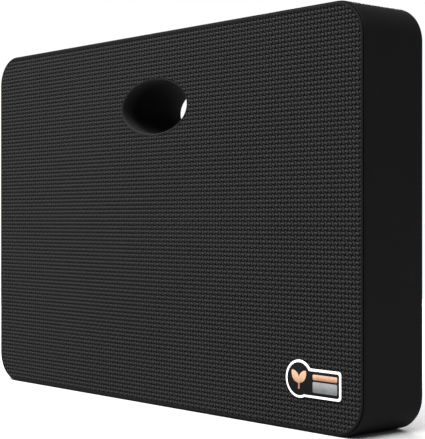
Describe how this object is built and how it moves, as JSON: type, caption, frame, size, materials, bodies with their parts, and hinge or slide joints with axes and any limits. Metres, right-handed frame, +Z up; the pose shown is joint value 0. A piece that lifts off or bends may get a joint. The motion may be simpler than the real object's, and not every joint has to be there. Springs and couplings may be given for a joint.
{
  "type": "kneeling pad",
  "caption": "Thick rectangular foam kneeling pad with woven-look embossed faces, smooth sides, an oval hand opening and a small label.",
  "frame": {"origin": "middle of the pad's long bottom edge, where it stands", "axes": "+X along the pad's width, to the right when the labelled face is looked at; +Y through its thickness, towards the back face; +Z up"},
  "size_m": [0.432, 0.0587, 0.28],
  "materials": {
    "foam": "matt closed-cell foam",
    "embossed_foam": "matt black foam sheet embossed with a canvas weave",
    "smooth_skin": "smooth matt black foam skin",
    "adhesive": "tacky film",
    "white_vinyl": "satin white vinyl",
    "dark_print": "satin dark print",
    "tan_print": "satin tan print",
    "grey_print": "satin grey print"
  },
  "bodies": {
    "root": {"foam_core": "foam", "front_facing": "embossed_foam", "back_facing": "embossed_foam", "side_skin": "smooth_skin", "opening_liner": "smooth_skin", "label_adhesive": "adhesive", "label_film": "white_vinyl", "label_field": "dark_print", "label_leaf": "tan_print", "label_tan_bar": "tan_print", "label_grey_bar": "grey_print"}
  },
  "joints": []
}
